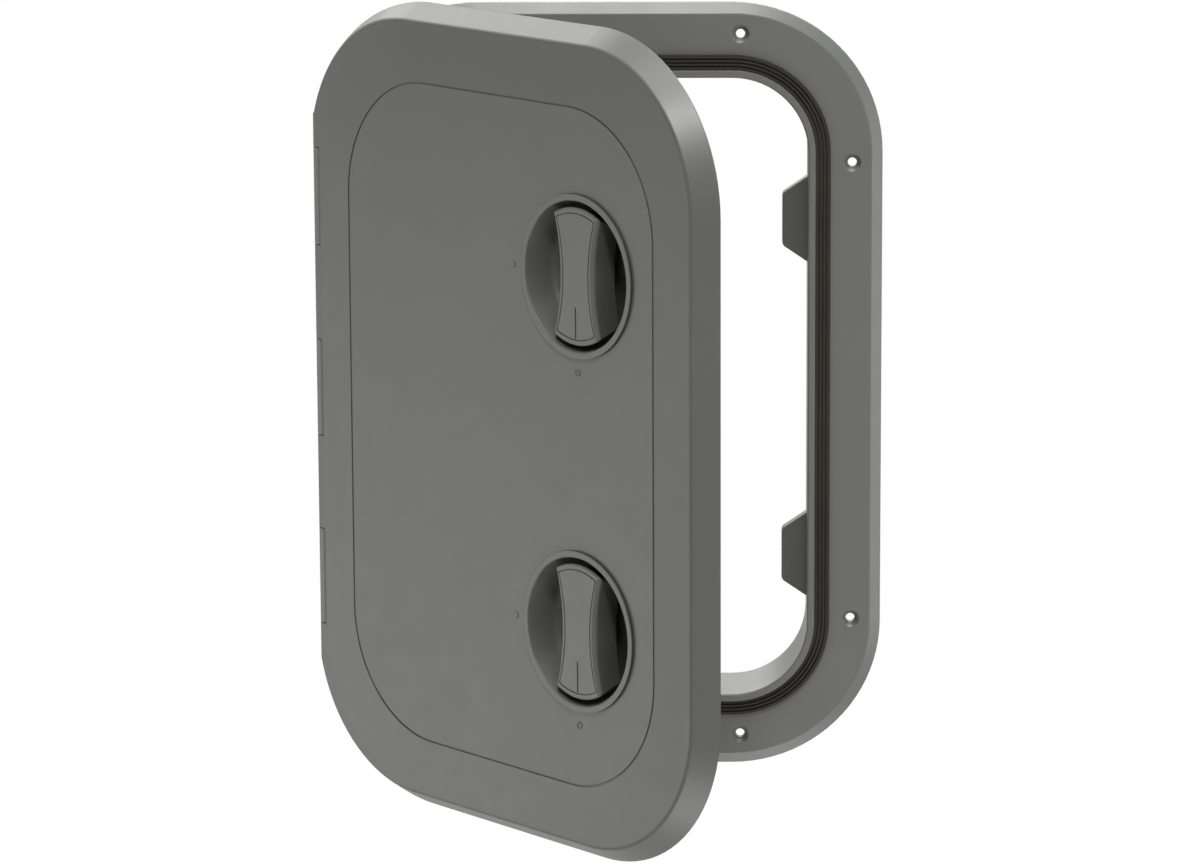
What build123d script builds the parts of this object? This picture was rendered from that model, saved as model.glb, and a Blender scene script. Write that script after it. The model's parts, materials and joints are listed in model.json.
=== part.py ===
from build123d import *
from math import atan2, cos, degrees, radians, sin, sqrt
import os

# Deck hatch: a frame that is screwed over a rectangular cut-out, and a lid on a pinned hinge with two
# quarter-turn latches. Millimetres. X runs across the hatch with the hinge on the -X side, Z runs along
# the hinge, and -Y points out of the deck or bulkhead. The origin is the middle of the frame's back face.
# The lid and its latches are drawn at the angle the lid rests at, so a level is always measured outwards
# from the mounting face as if the lid were shut.

# Frame
frame_w, frame_h, frame_r = 256.5, 361.5, 69.5
flange_t = 5.6
flange_bevel_w = 5.0
flange_bevel_depth = 2.6
flange_round = 1.5       # where the bevel meets the face
flange_w = 24.1          # from the outer edge to the seal channel
channel_floor = 2.8
lip_w = 3.4              # the collar wall, which stands up inside the seal as a lip
lip_level = 8.4
lip_chamfer = 0.6
collar_depth = 33.0      # behind the mounting face

# Seal
seal_w = 6.9
seal_level = 7.2
seal_side_gap = 0.1
seal_grooves = 3
seal_groove_w = 0.7
seal_groove_depth = 1.0

# Screw holes in the flange
screw_r = 2.15
countersink_r = 4.15
countersink_angle = 90.0
side_screw_inset = 14.0  # the four beside the opening, from the frame's sides
side_screw_end_inset = 72.45
end_screw_inset = 14.4   # the four above and below it, from the frame's ends
end_screw_side_inset = 65.7

# The side screws, latches and strikes are all centred slightly below the middle
low_offset = -1.8

# Lid
open_angle = 47.3
lid_overhang = 6.75
lid_edge_level = 1.5     # the rim's gap to the deck
lid_depth = 10.8
lid_bevel_w = 7.4
hinge_side_bevel_w = 1.0 # the bevel dies out round the corners towards the hinge
lid_wall = 2.9
lid_face_round = 2.4
lid_crown = 1.0          # the face rises from its edge to the engraved line
crown_inset = 1.5        # where the rise starts, from the edge of the face
lid_frame_gap = 2.3      # between the rim's inside and the flange's edge
line_side_inset = 22.6   # engraved line, from the edges of the face
line_end_inset = 26.8
line_r = 56.0
line_w = 0.9
line_depth = 0.5
press_ridge_w = 2.4
press_gap = 0.3          # ridge to seal
rib_w = 2.0
rib_depth = 3.0
rib_clear = 6.0          # rib ends to the lip
long_ribs_x = (-74.0, -38.0, -2.0)
cross_rib_pitch = 66.0
cross_ribs = 3

# Hinge
hinge_mid_z = 1.8
hinge_end_inset = 67.9   # outer knuckles, from the frame's ends
knuckle_l = 45.3
knuckle_end_gap = 0.4
barrel_gap = 0.4         # between a barrel and the part it turns beside
barrel_end = 16.0        # lid barrel beyond the outer knuckles
cove_end = 27.0          # clearance cove in the flange beyond the outer knuckles
pin_r = 1.5
pin_end = 12.0           # beyond the outer knuckles
pin_slot_w = 2.6         # the lid's barrel snaps over the pin through this
pin_press_gap = 0.02
pin_run_gap = 0.06
pin_end_gap = 1.0
pin_chamfer = 0.4

# Latch places, from the frame's edges
latch_side_inset = 73.35
latch_end_inset = 100.75

# Latch cup, gasket and ring nut
bowl_r = 33.7
bowl_floor_r = 28.5
bowl_depth = 15.0        # below the lid's face
bowl_round = 7.0
cup_wall = 1.6
bezel_r = 36.5
bezel_t = 0.8
bezel_round = 0.5
cup_barrel_r = 34.9
cup_hole_gap = 0.15
cup_barrel_depth = 11.0
gasket_t = 0.4
boss_w = 2.4
boss_depth = 3.0
nut_t = 3.4
nut_w = 2.4
nut_slots = 8
nut_slot_w = 5.0
nut_slot_depth = 1.4
sleeve_r = 9.5
sleeve_l = 5.5

# Handle and spindle
grip_r = 31.0
grip_end_w = 30.5
grip_waist_w = 22.3
grip_top_drop = 0.2      # below the bezel's top
grip_h = 12.5
grip_draft = 4.0
grip_side_round = 2.2
grip_end_round = 0.8
grip_line_inset = 2.6
grip_line_w = 0.5
grip_line_depth = 0.4
pointer_w = 0.8          # groove on the centre line, at the grip's lower end
pointer_l = 14.0
pointer_depth = 0.5
pointer_inset = 3.4      # from the grip's end
hub_r = 9.0
turn_gap = 0.3           # between turning faces
spindle_r = 6.0
spindle_gap = 0.08
square_w = 8.0
seal_ring_w = 1.6
seal_ring_depth = 1.2
seal_ring_drop = 2.0     # from the bowl's floor

# Strike, cam and cam screw
strike_level = -6.0      # its front face
strike_t = 6.5
strike_reach = 11.8
strike_root_l = 40.5
strike_tip_l = 24.5
strike_corner_r = 3.0
strike_round = 0.6
strike_slot_gap = 0.1
strike_head_t = 2.0
strike_head_edge = 3.0
cam_gap = 0.6            # cam to the back of the strike when locked
cam_t = 3.5
cam_w = 16.0
cam_wall_gap = 5.0       # cam tip to the collar
cam_hub_r = 10.0
cam_ramp = 1.5
square_gap = 0.05
washer_t = 1.0
washer_r = 8.5
cam_screw_r = 2.0
cam_screw_head_r = 4.2
cam_screw_head_t = 2.6
cam_screw_chamfer = 0.6
cam_screw_l = 9.0
cam_screw_socket_w = 2.5
cam_screw_socket_depth = 1.4

# Worked out from the above
opening_inset = flange_w + seal_w + lip_w
collar_inset = flange_w + seal_w
opening_half_w = frame_w / 2 - opening_inset
rim_face_level = lid_edge_level + lid_depth
face_level = rim_face_level + lid_crown
under_level = rim_face_level - lid_wall
ridge_level = seal_level + press_gap
barrel_r = lid_depth / 2
lid_half_w = frame_w / 2 + lid_overhang
hinge_x = -(lid_half_w - barrel_r)
hinge_level = lid_edge_level + barrel_r
lid_taper = degrees(atan2(lid_bevel_w, lid_depth))
outer_knuckle_end = frame_h / 2 - hinge_end_inset
knuckle_pitch = outer_knuckle_end - knuckle_l / 2
barrel_half_l = outer_knuckle_end + barrel_end
pin_half_l = outer_knuckle_end + pin_end
knuckle_z = [hinge_mid_z + step * knuckle_pitch for step in (-1, 0, 1)]
latch_x = frame_w / 2 - latch_side_inset
latch_half_pitch = frame_h / 2 - latch_end_inset
latch_places = {"upper": low_offset + latch_half_pitch, "lower": low_offset - latch_half_pitch}

bezel_seat = face_level + gasket_t
bezel_level = bezel_seat + bezel_t
floor_level = face_level - bowl_depth
cup_back_level = floor_level - cup_wall
sleeve_level = cup_back_level - sleeve_l
nut_level = under_level - boss_depth
cup_hole_r = cup_barrel_r + cup_hole_gap
grip_level = bezel_level - grip_top_drop
grip_back_level = grip_level - grip_h
washer_level = sleeve_level - turn_gap
cam_seat_level = washer_level - washer_t
cam_front_level = strike_level - strike_t - cam_gap
cam_back_level = cam_front_level - cam_t
cam_reach = opening_half_w - cam_wall_gap - latch_x

# The lid's own directions: along it from the hinge, and straight out of its face
along = Vector(cos(radians(open_angle)), -sin(radians(open_angle)), 0)
outward = Vector(-sin(radians(open_angle)), -cos(radians(open_angle)), 0)
hinge_point = Vector(hinge_x, -hinge_level, 0)


def frame_level(level):
    """Plane parallel to the mounting face, looking out, with x across and y up."""
    return Plane(origin=(0, -level, 0), x_dir=(1, 0, 0), z_dir=(0, -1, 0))


def lid_level(level, x=0.0, z=0.0):
    """The same plane carried by the lid, with its origin at x, z of the closed lid."""
    origin = hinge_point + along * (x - hinge_x) + outward * (level - hinge_level)
    return Plane(origin=origin + Vector(0, 0, z), x_dir=along, z_dir=outward)


def frame_section(z):
    """Plane across the hinge axis, centred on it, with x into the frame and y into the deck."""
    return Plane(origin=hinge_point + Vector(0, 0, z), x_dir=(1, 0, 0), z_dir=(0, 0, 1))


def lid_section(z):
    """The same plane carried by the lid."""
    return Plane(origin=hinge_point + Vector(0, 0, z), x_dir=along, z_dir=(0, 0, 1))


def latch_profile_plane(z):
    """Plane through a latch's axis, with x outwards from the axis and y as the level."""
    return Plane(origin=lid_level(0, latch_x, z).origin, x_dir=along, z_dir=(0, 0, -1))


def outline(inset, **options):
    """The frame's rounded rectangle, moved in by inset, or out where it is negative."""
    RectangleRounded(frame_w - 2 * inset, frame_h - 2 * inset, frame_r - inset, **options)


def outline_ring(outer_inset, inner_inset):
    """The band between two of the frame's outlines."""
    outline(outer_inset)
    outline(inner_inset, mode=Mode.SUBTRACT)


def save(piece, name):
    piece.part.label = name
    export_step(piece.part, f"parts/{name}.step")


os.makedirs("parts", exist_ok=True)

# Frame: bevelled flange, collar with its lip, seal channel, screw holes and hinge knuckles
with BuildPart() as frame:
    with BuildSketch(frame_level(0)):
        outline(0)
    extrude(amount=flange_t - flange_bevel_depth)
    with BuildSketch(frame_level(flange_t - flange_bevel_depth)):
        outline(0)
    extrude(amount=flange_bevel_depth, taper=degrees(atan2(flange_bevel_w, flange_bevel_depth)))
    fillet(frame.faces().sort_by(Axis.Y)[0].outer_wire().edges(), flange_round)
    with BuildSketch(frame_level(-collar_depth)):
        outline(collar_inset)
    extrude(amount=collar_depth + lip_level)
    with BuildSketch(frame_level(-collar_depth)):
        outline(opening_inset)
    extrude(amount=collar_depth + lip_level, mode=Mode.SUBTRACT)
    chamfer(frame.faces().sort_by(Axis.Y)[0].inner_wires()[0].edges(), lip_chamfer)
    with BuildSketch(frame_level(channel_floor)):
        outline_ring(flange_w, collar_inset)
    extrude(amount=lip_level, mode=Mode.SUBTRACT)

    with Locations(frame_level(flange_t)):
        with Locations((0, low_offset)):
            with GridLocations(frame_w - 2 * side_screw_inset, frame_h - 2 * side_screw_end_inset, 2, 2):
                CounterSinkHole(screw_r, countersink_r, flange_t, countersink_angle)
        with GridLocations(frame_w - 2 * end_screw_side_inset, frame_h - 2 * end_screw_inset, 2, 2):
            CounterSinkHole(screw_r, countersink_r, flange_t, countersink_angle)

    # The flange is coved where the lid's barrel turns in it
    cove_half_l = outer_knuckle_end + cove_end
    with BuildSketch(frame_section(hinge_mid_z - cove_half_l)):
        Circle(barrel_r + barrel_gap)
    extrude(amount=2 * cove_half_l, mode=Mode.SUBTRACT)
    for z in knuckle_z:
        with BuildSketch(frame_section(z - knuckle_l / 2)):
            Circle(barrel_r)
            Rectangle(barrel_r + 2 * barrel_gap, hinge_level, align=(Align.MIN, Align.MIN))
        extrude(amount=knuckle_l)
    with BuildSketch(frame_section(hinge_mid_z - pin_half_l)):
        Circle(pin_r + pin_press_gap)
    extrude(amount=2 * pin_half_l, mode=Mode.SUBTRACT)

    # Slots through the collar for the strikes
    for z in latch_places.values():
        with BuildSketch(frame_level(strike_level + strike_slot_gap)):
            with Locations((opening_half_w + lip_w / 2, z)):
                Rectangle(2 * lip_w, strike_root_l + 2 * strike_slot_gap)
        extrude(amount=-strike_t - 2 * strike_slot_gap, mode=Mode.SUBTRACT)
save(frame, "frame")

# Seal: a rubber strip in the channel, ribbed along its top
with BuildPart() as frame_seal:
    seal_outer, seal_inner = flange_w + seal_side_gap, collar_inset - seal_side_gap
    with BuildSketch(frame_level(channel_floor)):
        outline_ring(seal_outer, seal_inner)
    extrude(amount=seal_level - channel_floor)
    groove_pitch = (seal_inner - seal_outer) / (seal_grooves + 1)
    for number in range(1, seal_grooves + 1):
        groove_at = seal_outer + number * groove_pitch
        with BuildSketch(frame_level(seal_level)):
            outline_ring(groove_at - seal_groove_w / 2, groove_at + seal_groove_w / 2)
        extrude(amount=-seal_groove_depth, mode=Mode.SUBTRACT)
save(frame_seal, "frame_seal")

# Hinge pin: one plain rod, held in the frame's knuckles
with BuildPart() as hinge_pin:
    with BuildSketch(frame_section(hinge_mid_z - pin_half_l)):
        Circle(pin_r)
    extrude(amount=2 * pin_half_l)
    chamfer(hinge_pin.edges().filter_by(GeomType.CIRCLE), length=pin_chamfer)
save(hinge_pin, "hinge_pin")

# Lid: a bevelled tray that covers the frame, with a barrel along its hinge edge
with BuildPart() as lid:
    edge_half_l = frame_h / 2 + lid_overhang
    blank_extra = lid_bevel_w - hinge_side_bevel_w
    with BuildSketch(lid_level(lid_edge_level)):
        with Locations((-blank_extra / 2, 0)):
            RectangleRounded(2 * lid_half_w + blank_extra, 2 * edge_half_l, frame_r + lid_overhang)
    extrude(amount=lid_depth, taper=lid_taper)
    face = lid.faces().sort_by(Axis(hinge_point, outward))[-1]
    fillet(face.outer_wire().edges(), lid_face_round)
    line_outer_w = 2 * (lid_half_w - lid_bevel_w - line_side_inset)
    line_outer_h = 2 * (edge_half_l - lid_bevel_w - line_end_inset)
    with BuildSketch(lid_level(rim_face_level)):
        outline(lid_bevel_w + crown_inset - lid_overhang)
    with BuildSketch(lid_level(face_level)):
        RectangleRounded(line_outer_w, line_outer_h, line_r)
    loft(ruled=True)
    with BuildSketch(lid_level(lid_edge_level)):
        outline(-lid_frame_gap)
    extrude(amount=lid_depth - lid_wall, taper=lid_taper, mode=Mode.SUBTRACT)
    with BuildSketch(lid_section(hinge_mid_z - barrel_half_l)):
        Circle(barrel_r)
    extrude(amount=2 * barrel_half_l)
    with BuildSketch(lid_level(lid_edge_level)):
        outline(-lid_overhang)
    extrude(amount=lid_depth + lid_crown, mode=Mode.INTERSECT)

    # The hinge edge is rounded about the pin, so that it turns clear of the deck
    with BuildSketch(lid_section(-edge_half_l)):
        Rectangle(2 * barrel_r, 4 * barrel_r, align=(Align.MAX, Align.CENTER))
        Circle(barrel_r, mode=Mode.SUBTRACT)
    extrude(amount=2 * edge_half_l, mode=Mode.SUBTRACT)
    notch_r = barrel_r + barrel_gap
    for z in knuckle_z:
        with BuildSketch(lid_section(z - knuckle_l / 2 - knuckle_end_gap)):
            Circle(notch_r)
            Rectangle(notch_r, 2 * notch_r, align=(Align.MAX, Align.CENTER))
            Rectangle(notch_r + barrel_gap, hinge_level, align=(Align.MIN, Align.MIN))
        extrude(amount=knuckle_l + 2 * knuckle_end_gap, mode=Mode.SUBTRACT)
    # Its bore is slotted underneath, so that the barrel snaps over the pin
    bore_half_l = pin_half_l + pin_end_gap
    with BuildSketch(lid_section(hinge_mid_z - bore_half_l)):
        Circle(pin_r + pin_run_gap)
        Rectangle(pin_slot_w, 2 * barrel_r, align=(Align.CENTER, Align.MIN))
    extrude(amount=2 * bore_half_l, mode=Mode.SUBTRACT)

    # Under the lid: the ridge that presses on the seal, and stiffening ribs inside the opening
    seal_middle = flange_w + seal_w / 2
    with BuildSketch(lid_level(ridge_level)):
        outline_ring(seal_middle - press_ridge_w / 2, seal_middle + press_ridge_w / 2)
    extrude(amount=under_level - ridge_level)
    rib_half_l = frame_h / 2 - opening_inset - rib_clear
    rib_half_w = opening_half_w - rib_clear
    with BuildSketch(lid_level(under_level - rib_depth)):
        for x in long_ribs_x:
            with Locations((x, 0)):
                Rectangle(rib_w, 2 * rib_half_l - (frame_r - opening_inset))
        with Locations((0, low_offset)):
            with GridLocations(0, cross_rib_pitch, 1, cross_ribs):
                with Locations((-rib_half_w, 0)):
                    Rectangle(rib_half_w + long_ribs_x[-1], rib_w, align=(Align.MIN, Align.CENTER))
    extrude(amount=rib_depth)

    # Holes for the latch cups, each with a boss that the ring nut pulls on
    for z in latch_places.values():
        with BuildSketch(lid_level(nut_level, latch_x, z)):
            Circle(cup_hole_r + boss_w)
        extrude(amount=boss_depth)
        with BuildSketch(lid_level(nut_level, latch_x, z)):
            Circle(cup_hole_r)
        extrude(amount=face_level - nut_level, mode=Mode.SUBTRACT)

    # The fine line engraved round the face
    with BuildSketch(lid_level(face_level)):
        RectangleRounded(line_outer_w, line_outer_h, line_r)
        RectangleRounded(
            line_outer_w - 2 * line_w, line_outer_h - 2 * line_w, line_r - line_w, mode=Mode.SUBTRACT
        )
    extrude(amount=-line_depth, mode=Mode.SUBTRACT)
save(lid, "lid")


def make_strike(name, z):
    """Tab through the collar wall, with a head that seats against the collar's outside."""
    tip_x = opening_half_w - strike_reach
    head_x = opening_half_w + lip_w
    with BuildPart() as strike:
        with BuildSketch(frame_level(strike_level - strike_t)) as tab:
            with BuildLine():
                Polyline(
                    (head_x, z - strike_root_l / 2),
                    (opening_half_w, z - strike_root_l / 2),
                    (tip_x, z - strike_tip_l / 2),
                    (tip_x, z + strike_tip_l / 2),
                    (opening_half_w, z + strike_root_l / 2),
                    (head_x, z + strike_root_l / 2),
                    close=True,
                )
            make_face()
            fillet(tab.vertices().group_by(Axis.X)[0], strike_corner_r)
        extrude(amount=strike_t)
        front = strike.faces().sort_by(Axis.Y)[0]
        fillet(front.edges() - front.edges().group_by(Axis.X)[-1], strike_round)
        with BuildSketch(frame_level(strike_level - strike_t - strike_head_edge)):
            with Locations((head_x, z)):
                Rectangle(strike_head_t, strike_root_l + 2 * strike_head_edge, align=(Align.MIN, Align.CENTER))
        extrude(amount=strike_t + 2 * strike_head_edge)
    save(strike, name)


def make_cup(name, z):
    """Bowl with a thin bezel, a threaded barrel outside and the spindle's sleeve behind."""
    with BuildPart() as cup:
        with BuildSketch(latch_profile_plane(z)):
            with BuildLine():
                Polyline(
                    (0, floor_level),
                    (bowl_floor_r, floor_level),
                    (bowl_r, bezel_level),
                    (bezel_r, bezel_level),
                    (bezel_r, bezel_seat),
                    (cup_barrel_r, bezel_seat),
                    (cup_barrel_r, face_level - cup_barrel_depth),
                    (bowl_floor_r + cup_wall, cup_back_level),
                    (sleeve_r, cup_back_level),
                    (sleeve_r, sleeve_level),
                    (0, sleeve_level),
                    close=True,
                )
            make_face()
        revolve(axis=Axis(lid_level(0, latch_x, z).origin, outward))
        rim = cup.faces().sort_by(Axis(hinge_point, outward))[-1]
        fillet(rim.inner_wires()[0].edges(), bezel_round)
        floor = cup.faces().filter_by(GeomType.PLANE).sort_by_distance(lid_level(floor_level, latch_x, z).origin)
        fillet(floor[0].outer_wire().edges(), bowl_round)
        with BuildSketch(lid_level(sleeve_level, latch_x, z)):
            Circle(spindle_r + spindle_gap)
        extrude(amount=floor_level - sleeve_level, mode=Mode.SUBTRACT)
    save(cup, name)


def make_ring(name, z, level, thickness, inner_r, outer_r):
    """Flat ring on a latch's axis, its back face at level."""
    with BuildPart() as ring:
        with BuildSketch(lid_level(level, latch_x, z)):
            Circle(outer_r)
            Circle(inner_r, mode=Mode.SUBTRACT)
        extrude(amount=thickness)
    save(ring, name)


def make_ring_nut(name, z):
    """Ring nut on the cup's barrel, slotted for a pin spanner."""
    with BuildPart() as nut:
        with BuildSketch(lid_level(nut_level - nut_t, latch_x, z)):
            Circle(cup_hole_r + nut_w)
            Circle(cup_barrel_r, mode=Mode.SUBTRACT)
            with PolarLocations(cup_hole_r + nut_w - nut_slot_depth / 2, nut_slots):
                Rectangle(nut_slot_depth, nut_slot_w, mode=Mode.SUBTRACT)
        extrude(amount=nut_t)
    save(nut, name)


def grip_outline(inset, **options):
    """Bow-tie outline: two hollow sides, and ends that follow the bowl."""
    half_end, half_waist, radius = grip_end_w / 2 - inset, grip_waist_w / 2 - inset, grip_r - inset
    corner = sqrt(radius**2 - half_end**2)
    with BuildLine(mode=Mode.PRIVATE) as edge:
        ThreePointArc((-half_end, -corner), (-half_waist, 0), (-half_end, corner))
        ThreePointArc((-half_end, corner), (0, radius), (half_end, corner))
        ThreePointArc((half_end, corner), (half_waist, 0), (half_end, -corner))
        ThreePointArc((half_end, -corner), (0, -radius), (-half_end, -corner))
    make_face(edge.edges(), **options)


def make_handle(name, z):
    """Bow-tie grip with its hub, spindle, seal groove and the square that drives the cam."""
    with BuildPart() as handle:
        with BuildSketch(lid_level(grip_level, latch_x, z)):
            grip_outline(0)
        extrude(amount=-grip_h, taper=-grip_draft)
        # Its ends slope in as the bowl's wall does
        end_r = grip_r - (bowl_r - bowl_floor_r) * grip_h / (bezel_level - floor_level)
        with BuildSketch(latch_profile_plane(z)):
            with BuildLine():
                Polyline(
                    (0, grip_back_level), (end_r, grip_back_level), (grip_r, grip_level), (0, grip_level), close=True
                )
            make_face()
        revolve(axis=Axis(lid_level(0, latch_x, z).origin, outward), mode=Mode.INTERSECT)
        top = handle.faces().sort_by(Axis(hinge_point, outward))[-1]
        fillet(top.edges().sort_by(Axis.Z)[1:3], grip_side_round)
        top = handle.faces().sort_by(Axis(hinge_point, outward))[-1]
        ends = top.edges().sort_by(Axis.Z)
        fillet([ends[0], ends[-1]], grip_end_round)
        with BuildSketch(lid_level(grip_level, latch_x, z)):
            grip_outline(grip_line_inset)
            grip_outline(grip_line_inset + grip_line_w, mode=Mode.SUBTRACT)
        extrude(amount=-grip_line_depth, mode=Mode.SUBTRACT)
        with BuildSketch(lid_level(grip_level, latch_x, z)):
            with Locations((0, pointer_inset - grip_r)):
                SlotOverall(pointer_l, pointer_w, rotation=90, align=(Align.MIN, Align.CENTER))
        extrude(amount=-pointer_depth, mode=Mode.SUBTRACT)
        with BuildSketch(lid_level(floor_level + turn_gap, latch_x, z)):
            Circle(hub_r)
        extrude(amount=grip_back_level - floor_level - turn_gap)
        with BuildSketch(lid_level(washer_level, latch_x, z)):
            Circle(spindle_r)
        extrude(amount=grip_back_level - washer_level)
        with BuildSketch(lid_level(cam_back_level + turn_gap, latch_x, z)):
            Rectangle(square_w, square_w)
        extrude(amount=washer_level - cam_back_level - turn_gap)
        with BuildSketch(lid_level(floor_level - seal_ring_drop, latch_x, z)):
            Circle(spindle_r)
            Circle(spindle_r - seal_ring_depth, mode=Mode.SUBTRACT)
        extrude(amount=-seal_ring_w, mode=Mode.SUBTRACT)
        with BuildSketch(lid_level(cam_back_level, latch_x, z)):
            Circle(cam_screw_r)
        extrude(amount=cam_screw_l, mode=Mode.SUBTRACT)
    save(handle, name)


def make_cam(name, z):
    """Arm on the spindle's square: up when free, and behind the strike after a quarter turn."""
    with BuildPart() as cam:
        with BuildSketch(lid_level(cam_back_level, latch_x, z)):
            Circle(cam_hub_r)
            with BuildLine():
                FilletPolyline(
                    (-cam_w / 2, 0),
                    (-cam_w / 2, cam_reach),
                    (cam_w / 2, cam_reach),
                    (cam_w / 2, 0),
                    radius=cam_w / 4,
                )
                Line((cam_w / 2, 0), (-cam_w / 2, 0))
            make_face()
        extrude(amount=cam_t)
        tip = cam.edges().filter_by(GeomType.LINE).group_by(Axis.Z)[-1]
        chamfer(tip.sort_by(Axis(hinge_point, outward))[-1], length=cam_ramp)
        with BuildSketch(lid_level(cam_front_level, latch_x, z)):
            Circle(cam_hub_r)
        extrude(amount=cam_seat_level - cam_front_level)
        with BuildSketch(lid_level(cam_back_level, latch_x, z)):
            Rectangle(square_w + 2 * square_gap, square_w + 2 * square_gap)
        extrude(amount=cam_seat_level - cam_back_level, mode=Mode.SUBTRACT)
    save(cam, name)


def make_cam_screw(name, z):
    """Socket screw that clamps the cam on the spindle."""
    with BuildPart() as screw:
        with BuildSketch(lid_level(cam_back_level, latch_x, z)):
            Circle(cam_screw_head_r)
        extrude(amount=-cam_screw_head_t)
        chamfer(screw.edges().sort_by(Axis(hinge_point, outward))[0], cam_screw_chamfer)
        with BuildSketch(lid_level(cam_back_level, latch_x, z)):
            Circle(cam_screw_r)
        extrude(amount=cam_screw_l)
        with BuildSketch(lid_level(cam_back_level - cam_screw_head_t, latch_x, z)):
            RegularPolygon(cam_screw_socket_w / 2, 6, major_radius=False)
        extrude(amount=cam_screw_socket_depth, mode=Mode.SUBTRACT)
    save(screw, name)


for place, z in latch_places.items():
    make_strike(f"{place}_strike", z)
    make_cup(f"{place}_latch_cup", z)
    make_ring(f"{place}_cup_gasket", z, face_level, gasket_t, cup_barrel_r, bezel_r)
    make_ring_nut(f"{place}_cup_nut", z)
    make_handle(f"{place}_handle", z)
    ring_level = floor_level - seal_ring_drop - seal_ring_w
    make_ring(f"{place}_spindle_seal", z, ring_level, seal_ring_w, spindle_r - seal_ring_depth, spindle_r)
    make_ring(f"{place}_thrust_washer", z, cam_seat_level, washer_t, sqrt(2) * square_w / 2, washer_r)
    make_cam(f"{place}_cam", z)
    make_cam_screw(f"{place}_cam_screw", z)
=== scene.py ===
"""Looks of the deck hatch: moulded plastic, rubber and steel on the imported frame, lit as a studio photo."""

import json
from math import pi, radians

import bmesh
import bpy
from mathutils import Matrix, Vector


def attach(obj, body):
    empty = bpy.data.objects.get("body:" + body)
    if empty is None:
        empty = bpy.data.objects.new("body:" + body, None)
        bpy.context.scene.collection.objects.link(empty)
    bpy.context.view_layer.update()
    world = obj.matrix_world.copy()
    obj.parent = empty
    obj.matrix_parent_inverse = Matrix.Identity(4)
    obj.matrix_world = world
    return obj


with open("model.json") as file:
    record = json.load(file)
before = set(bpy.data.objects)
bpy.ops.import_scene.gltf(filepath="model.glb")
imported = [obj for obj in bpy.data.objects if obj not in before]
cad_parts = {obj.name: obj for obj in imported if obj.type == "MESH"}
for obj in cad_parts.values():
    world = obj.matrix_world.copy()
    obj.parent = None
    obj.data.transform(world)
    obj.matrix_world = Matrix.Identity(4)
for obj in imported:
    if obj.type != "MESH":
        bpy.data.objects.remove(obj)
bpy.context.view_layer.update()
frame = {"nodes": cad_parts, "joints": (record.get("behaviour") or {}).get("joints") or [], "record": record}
joints = {joint["name"]: joint for joint in frame["joints"]}

# Lengths are in metres and angles in degrees, unless a comment says otherwise

# Camera: a long lens, looking slightly down
CAMERA_AT = (0.0584, -2.4320, 0.4838)
CAMERA_PITCH = 11.74
CAMERA_YAW = 1.45
CAMERA_ROLL = -0.28
CAMERA_LENS = 159.09       # mm
SENSOR_W = 36.0            # mm
CAMERA_REACH = 100

# Floor and surroundings
FLOOR_Z = -1.6
FLOOR_R = 4.4
FLOOR_STEPS = 96
FLOOR_TONE = 0.8
FLOOR_ROUGH = 0.9
FADE_START_R = 1.0         # from here outwards the floor fades into the white behind it
FADE_END_R = FLOOR_R * 0.95
MIDDLE_WHITE = 0.7         # white's share of the floor inside the start of the fade
WORLD_FILL = 0.10
LAMP_AIM = (0, -0.08, 0)

# Noise scales, in features per metre
GRAIN = 2600.0
MOTTLE = 14.0
SHEEN_PATCH = 90.0
SCRATCH = 420.0
RUBBER_BLOOM = 60.0
RUBBER_GRAIN = 3200.0
DRAWN_MARK = 1800.0

# How a noise is scaled along X, Y and Z: it runs out into streaks along Z where its scale is small there
EVEN = (1.0, 1.0, 1.0)
RUBBED_ALONG_Z = (1.0, 1.0, 0.04)
DRAWN_ALONG_Z = (1.0, 1.0, 0.02)

# The part of a noise's values that is spread over a whole range
NOISE_LOW = 0.3
NOISE_HIGH = 0.7

# Depths of the finest relief, which only shades the surface
GRAIN_DEPTH = 0.000006
RUB_DEPTH = 0.000001
RUBBER_GRAIN_DEPTH = 0.00001
DRAWN_DEPTH = 0.000002

# Softened edges
PLASTIC_EDGE_R = 0.0004
FINE_EDGE_R = 0.0002

# Sheen
PLASTIC_ROUGH = 0.42
PLASTIC_ROUGH_VARIES = 0.012
PLASTIC_SHINE = 0.42
RUBBER_ROUGH_VARIES = 0.06
RUBBER_SHINE = 0.16
STEEL_TONE = (0.62, 0.62, 0.61)
STEEL_ROUGH = (0.22, 0.36)

# Shares by which a colour varies
MOTTLE_SHARE = 0.03
BLOOM_SHARE = 0.15
DRAWN_SHARE = 0.06

# Small marks beside the latches
MARK_DISTANCE = 0.043
MARK_H = 0.0003
DISC_R = 0.0016
RING_R = 0.0018
RING_HOLE_R = 0.0011
RING_STEPS = 48


def shader(name):
    """A new material and its principled shader."""
    material = bpy.data.materials.new(name)
    material.use_nodes = True
    return material, material.node_tree.nodes["Principled BSDF"]


def node(material, kind, **settings):
    """A new node of that kind; settings name its properties, and inputs where spaces are written as _."""
    made = material.node_tree.nodes.new(kind)
    for key, value in settings.items():
        if hasattr(made, key):
            setattr(made, key, value)
        else:
            made.inputs[key.replace("_", " ")].default_value = value
    return made


def link(material, source, output, target, target_input):
    """Links an output to an input, each given by its name or its number."""
    material.node_tree.links.new(source.outputs[output], target.inputs[target_input])


def noise(material, scale, detail=2.0, stretch=EVEN):
    """Noise fixed to the piece, so that it moves with it."""
    place = node(material, "ShaderNodeTexCoord")
    mapping = node(material, "ShaderNodeMapping", Scale=stretch)
    texture = node(material, "ShaderNodeTexNoise", Scale=scale, Detail=detail)
    link(material, place, "Object", mapping, "Vector")
    link(material, mapping, "Vector", texture, "Vector")
    return texture


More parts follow.
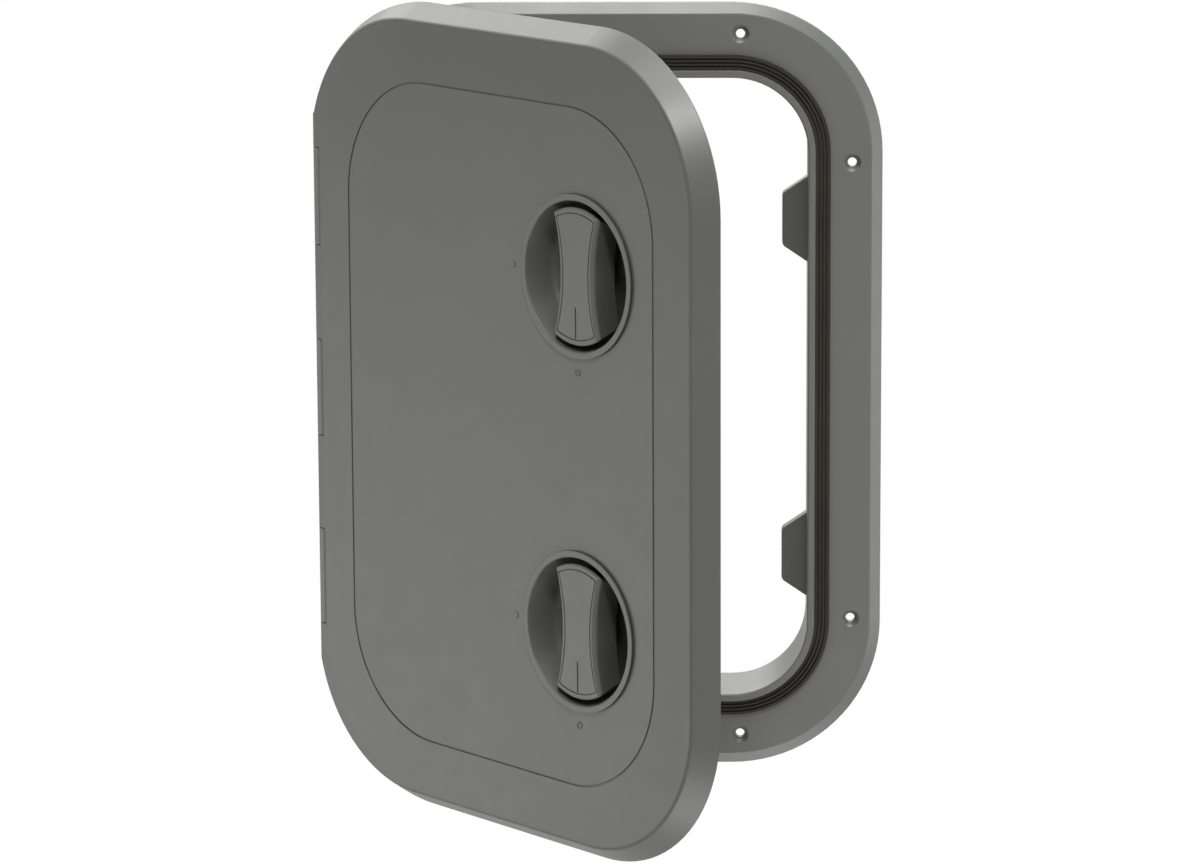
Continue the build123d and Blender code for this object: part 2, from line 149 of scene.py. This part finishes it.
def spread(material, texture, low, high):
    """Maps the middle of a noise to the range from low to high."""
    ranged = node(
        material, "ShaderNodeMapRange", From_Min=NOISE_LOW, From_Max=NOISE_HIGH, To_Min=low, To_Max=high
    )
    link(material, texture, "Fac", ranged, "Value")
    return ranged


def shade(material, color, texture, share):
    """A colour that varies by a share of itself with a noise."""
    ramp = node(material, "ShaderNodeValToRGB")
    low, high = ramp.color_ramp.elements
    low.position, high.position = NOISE_LOW, NOISE_HIGH
    low.color = [channel * (1 - share) for channel in color] + [1]
    high.color = [channel * (1 + share) for channel in color] + [1]
    link(material, texture, "Fac", ramp, "Fac")
    return ramp


def paint_crevice_shade(material, source, dark, reach, bsdf):
    """Colours a shader, with painted shade: darkened down to a share of the source where faces meet within
    reach.
    """
    hidden = node(material, "ShaderNodeAmbientOcclusion", samples=8, Distance=reach)
    low = node(material, "ShaderNodeMapRange", From_Min=0.0, From_Max=1.0, To_Min=dark, To_Max=1.0)
    mix = node(material, "ShaderNodeMix", data_type="RGBA", blend_type="MULTIPLY")
    # The mix node's names repeat for each kind of value, so its factor and colours go by number
    factor, first_color, second_color, mixed_color = 0, 6, 7, 2
    mix.inputs[factor].default_value = 1.0
    link(material, hidden, "AO", low, "Value")
    link(material, source, "Color", mix, first_color)
    link(material, low, "Result", mix, second_color)
    link(material, mix, mixed_color, bsdf, "Base Color")


def surface_bump(material, bsdf, layers, edge_r):
    """Bump from several noises over softly rounded edges; layers are pairs of noise and depth."""
    normal = node(material, "ShaderNodeBevel", samples=4, Radius=edge_r)
    for texture, depth in layers:
        bump = node(material, "ShaderNodeBump", Strength=1.0, Distance=depth)
        link(material, texture, "Fac", bump, "Height")
        link(material, normal, "Normal", bump, "Normal")
        normal = bump
    link(material, normal, "Normal", bsdf, "Normal")


def moulded_plastic(name, color, rough=PLASTIC_ROUGH, dark=0.7, reach=0.003):
    """Moulded plastic: fine grain, cloudy sheen, slight mottling, faint rub marks and painted shade where
    faces meet.
    """
    material, bsdf = shader(name)
    mottle = noise(material, MOTTLE, detail=3.0)
    cloud = noise(material, SHEEN_PATCH, detail=4.0)
    grain = noise(material, GRAIN, detail=2.0)
    rub = noise(material, SCRATCH, detail=1.0, stretch=RUBBED_ALONG_Z)
    # Painted shade: the colour is darkened where faces meet, down to the share dark within reach
    paint_crevice_shade(material, shade(material, color, mottle, MOTTLE_SHARE), dark, reach, bsdf)
    sheen = spread(material, cloud, rough - PLASTIC_ROUGH_VARIES, rough + PLASTIC_ROUGH_VARIES)
    link(material, sheen, "Result", bsdf, "Roughness")
    surface_bump(material, bsdf, [(grain, GRAIN_DEPTH), (rub, RUB_DEPTH)], PLASTIC_EDGE_R)
    bsdf.inputs["Specular IOR Level"].default_value = PLASTIC_SHINE
    return material


def rubber(name, color, rough):
    """Matt rubber with fine mould grain and a slightly dusty bloom."""
    material, bsdf = shader(name)
    bloom = noise(material, RUBBER_BLOOM, detail=5.0)
    grain = noise(material, RUBBER_GRAIN, detail=1.0)
    link(material, shade(material, color, bloom, BLOOM_SHARE), "Color", bsdf, "Base Color")
    sheen = spread(material, bloom, rough - RUBBER_ROUGH_VARIES, rough + RUBBER_ROUGH_VARIES)
    link(material, sheen, "Result", bsdf, "Roughness")
    surface_bump(material, bsdf, [(grain, RUBBER_GRAIN_DEPTH)], FINE_EDGE_R)
    bsdf.inputs["Specular IOR Level"].default_value = RUBBER_SHINE
    return material


def steel(name, stretch):
    """Bright steel with fine marks, scaled along X, Y and Z by stretch."""
    material, bsdf = shader(name)
    drawn = noise(material, DRAWN_MARK, detail=3.0, stretch=stretch)
    link(material, shade(material, STEEL_TONE, drawn, DRAWN_SHARE), "Color", bsdf, "Base Color")
    link(material, spread(material, drawn, *STEEL_ROUGH), "Result", bsdf, "Roughness")
    surface_bump(material, bsdf, [(drawn, DRAWN_DEPTH)], FINE_EDGE_R)
    bsdf.inputs["Metallic"].default_value = 1.0
    return material


def dress_nodes():
    """Gives each CAD node its material, by its slot in the record, and returns the materials by slot."""
    finishes = {
        # dark and reach give each plastic its painted shade where faces meet: in the frame's countersinks,
        # around the lid's bezel and groove, beside the handle's grip and in the cup's bowl
        "frame_plastic": moulded_plastic("frame_plastic", (0.084, 0.086, 0.078), dark=0.45, reach=0.005),
        "lid_plastic": moulded_plastic("lid_plastic", (0.060, 0.061, 0.053), dark=0.85),
        "handle_plastic": moulded_plastic("handle_plastic", (0.070, 0.071, 0.063), dark=0.35, reach=0.02),
        "cup_plastic": moulded_plastic("cup_plastic", (0.068, 0.069, 0.0615), dark=0.5, reach=0.012),
        # The strikes are moulded in one with the collar; their colour, darker than the frame's, is painted
        # shade for their place below the flange
        "strike_plastic": moulded_plastic("strike_plastic", (0.055, 0.056, 0.049), 0.48),
        "black_nylon": moulded_plastic("black_nylon", (0.022, 0.022, 0.021), 0.50),
        "washer_plastic": moulded_plastic("washer_plastic", (0.62, 0.61, 0.57), 0.40),
        "seal_rubber": rubber("seal_rubber", (0.018, 0.016, 0.012), 0.7),
        "gasket_rubber": rubber("gasket_rubber", (0.02, 0.02, 0.019), 0.65),
        "pin_steel": steel("pin_steel", DRAWN_ALONG_Z),
        "screw_steel": steel("screw_steel", EVEN),
    }
    for part in frame["record"]["subparts"]:
        mesh = frame["nodes"][part["node"]].data
        mesh.materials.clear()
        mesh.materials.append(finishes[part["material_slot"]])
    return finishes


def raised_ring(name, outer_r, inner_r, height):
    """Flat ring, or disc where inner_r is 0, with a bevelled top edge, standing on its XY plane."""
    ring = bmesh.new()
    bevel = height * 0.5
    profile = [(outer_r, -height), (outer_r, height - bevel), (outer_r - bevel, height)]
    if inner_r:
        profile += [(inner_r + bevel, height), (inner_r, height - bevel), (inner_r, -height)]
    rows = []
    for step in range(RING_STEPS):
        turn = Matrix.Rotation(2 * pi * step / RING_STEPS, 3, "Z")
        rows.append([ring.verts.new(turn @ Vector((radius, 0, z))) for radius, z in profile])
    for here, after in zip(rows, rows[1:] + rows[:1]):
        for index in range(len(profile) - 1):
            ring.faces.new((here[index], after[index], after[index + 1], here[index + 1]))
        if inner_r:
            ring.faces.new((here[-1], after[-1], after[0], here[0]))
    if not inner_r:
        ring.faces.new([row[-1] for row in rows])
        ring.faces.new([row[0] for row in reversed(rows)])
    bmesh.ops.recalc_face_normals(ring, faces=ring.faces)
    mesh = bpy.data.meshes.new(name)
    ring.to_mesh(mesh)
    ring.free()
    piece = bpy.data.objects.new(name, mesh)
    bpy.context.scene.collection.objects.link(piece)
    return piece


def place_on_lid(piece, latch, across, up):
    """Stands a piece on the lid's face, at a distance across and up from a latch's axis."""
    joint = joints[latch]
    outward = -Vector(joint["axis"])
    along = Vector((0, 0, 1)).cross(outward)
    centre = Vector(joint["pos_m"]) + along * across + Vector((0, 0, up))
    turn = Matrix((along, Vector((0, 0, 1)), outward)).transposed().to_4x4()
    piece.matrix_world = Matrix.Translation(centre) @ turn


def add_marks(finish):
    """Generic raised marks beside each latch: a disc where the pointer locks, a ring where it frees."""
    for place in ("upper", "lower"):
        latch = f"{place}_latch_turn"
        locked = raised_ring(f"{place}_locked_mark", DISC_R, 0.0, MARK_H)
        free = raised_ring(f"{place}_free_mark", RING_R, RING_HOLE_R, MARK_H)
        place_on_lid(locked, latch, -MARK_DISTANCE, 0)
        place_on_lid(free, latch, 0, -MARK_DISTANCE)
        for piece in (locked, free):
            piece.data.materials.append(finish)
            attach(piece, "lid")


def soft_lamp(name, at, size, radiance):
    """Rectangular lamp that looks at LAMP_AIM; radiance is how bright its face is, where white paper is 1."""
    lamp = bpy.data.lights.new(name, "AREA")
    lamp.shape = "RECTANGLE"
    lamp.size, lamp.size_y = size
    lamp.energy = radiance * pi * size[0] * size[1]
    item = bpy.data.objects.new(name, lamp)
    bpy.context.scene.collection.objects.link(item)
    item.location = at
    item.rotation_euler = (Vector(LAMP_AIM) - Vector(at)).to_track_quat("-Z", "Y").to_euler()
    item.visible_camera = False


def seen_plainly(tree):
    """An output that is 1 on what the camera sees directly, mirrored or through glass."""
    path = tree.nodes.new("ShaderNodeLightPath")
    total = path.outputs["Is Camera Ray"]
    for output in ("Is Glossy Ray", "Is Transmission Ray"):
        either = tree.nodes.new("ShaderNodeMath")
        either.operation = "MAXIMUM"
        tree.links.new(total, either.inputs[0])
        tree.links.new(path.outputs[output], either.inputs[1])
        total = either.outputs[0]
    return total


def add_world():
    """White behind the object, and a plain fill on it."""
    world = bpy.data.worlds.new("studio")
    world.use_nodes = True
    bpy.context.scene.world = world
    tree = world.node_tree
    fill = tree.nodes["Background"]
    fill.inputs["Color"].default_value = (1, 1, 1, 1)
    fill.inputs["Strength"].default_value = WORLD_FILL
    white = tree.nodes.new("ShaderNodeBackground")
    white.inputs["Color"].default_value = (1, 1, 1, 1)
    white.inputs["Strength"].default_value = 1.0
    mix = tree.nodes.new("ShaderNodeMixShader")
    tree.links.new(seen_plainly(tree), mix.inputs[0])
    tree.links.new(fill.outputs[0], mix.inputs[1])
    tree.links.new(white.outputs[0], mix.inputs[2])
    tree.links.new(mix.outputs[0], tree.nodes["World Output"].inputs["Surface"])


def floor_paint():
    """Pale paint that fades into the white behind the floor, with the distance from the floor's middle."""
    material, bsdf = shader("floor_paint")
    bsdf.inputs["Base Color"].default_value = (FLOOR_TONE, FLOOR_TONE, FLOOR_TONE, 1)
    bsdf.inputs["Roughness"].default_value = FLOOR_ROUGH
    tree = material.node_tree
    place = node(material, "ShaderNodeTexCoord")
    length = node(material, "ShaderNodeVectorMath", operation="LENGTH")
    share = node(
        material,
        "ShaderNodeMapRange",
        From_Min=FADE_START_R,
        From_Max=FADE_END_R,
        To_Min=MIDDLE_WHITE,
        To_Max=1.0,
    )
    shown = node(material, "ShaderNodeMath", operation="MULTIPLY")
    glow = node(material, "ShaderNodeEmission")
    mix = node(material, "ShaderNodeMixShader")
    link(material, place, "Object", length, "Vector")
    link(material, length, "Value", share, "Value")
    tree.links.new(seen_plainly(tree), shown.inputs[0])
    link(material, share, "Result", shown, 1)
    link(material, shown, "Value", mix, 0)
    link(material, bsdf, "BSDF", mix, 1)
    link(material, glow, "Emission", mix, 2)
    link(material, mix, "Shader", tree.nodes["Material Output"], "Surface")
    return material


def add_floor():
    """Round floor, low enough that no shadow on it comes into view."""
    bpy.ops.mesh.primitive_circle_add(
        vertices=FLOOR_STEPS, radius=FLOOR_R, fill_type="NGON", location=(0, 0, FLOOR_Z)
    )
    floor = bpy.context.object
    floor.name = "floor"
    floor.data.materials.append(floor_paint())


def add_lights():
    """Soft lamps around the hatch, each placed for the faces that mirror it to the camera."""
    soft_lamp("overhead", (0.35, -0.1, 1.95), (1.2, 1.2), 14.0)
    soft_lamp("top_back_left", (-0.95, 1.15, 1.35), (1.2, 1.2), 4.5)
    soft_lamp("top_front", (0.0, -1.5, 1.66), (0.26, 0.26), 200.0)
    soft_lamp("back", (0.1, 2.3, 0.5), (1.4, 0.8), 2.3)
    soft_lamp("below", (0.2, -0.6, -1.5), (1.2, 1.2), 4.6)
    soft_lamp("left_low", (-2.0, 0.1, -0.7), (1.4, 1.0), 2.8)
    soft_lamp("right", (2.0, -1.4, -0.4), (0.4, 1.4), 14.0)


def add_camera():
    """The scene's camera, turned by roll, then pitch, then yaw."""
    data = bpy.data.cameras.new("camera")
    data.sensor_width = SENSOR_W
    data.sensor_fit = "HORIZONTAL"
    data.lens = CAMERA_LENS
    data.clip_end = CAMERA_REACH
    camera = bpy.data.objects.new("camera", data)
    bpy.context.scene.collection.objects.link(camera)
    turn = (
        Matrix.Rotation(radians(CAMERA_YAW), 4, "Z")
        @ Matrix.Rotation(radians(90 - CAMERA_PITCH), 4, "X")
        @ Matrix.Rotation(radians(CAMERA_ROLL), 4, "Z")
    )
    camera.matrix_world = Matrix.Translation(CAMERA_AT) @ turn
    bpy.context.scene.camera = camera


finishes = dress_nodes()
add_marks(finishes["lid_plastic"])
add_world()
add_floor()
add_lights()
add_camera()
bpy.context.scene.view_settings.view_transform = "Standard"
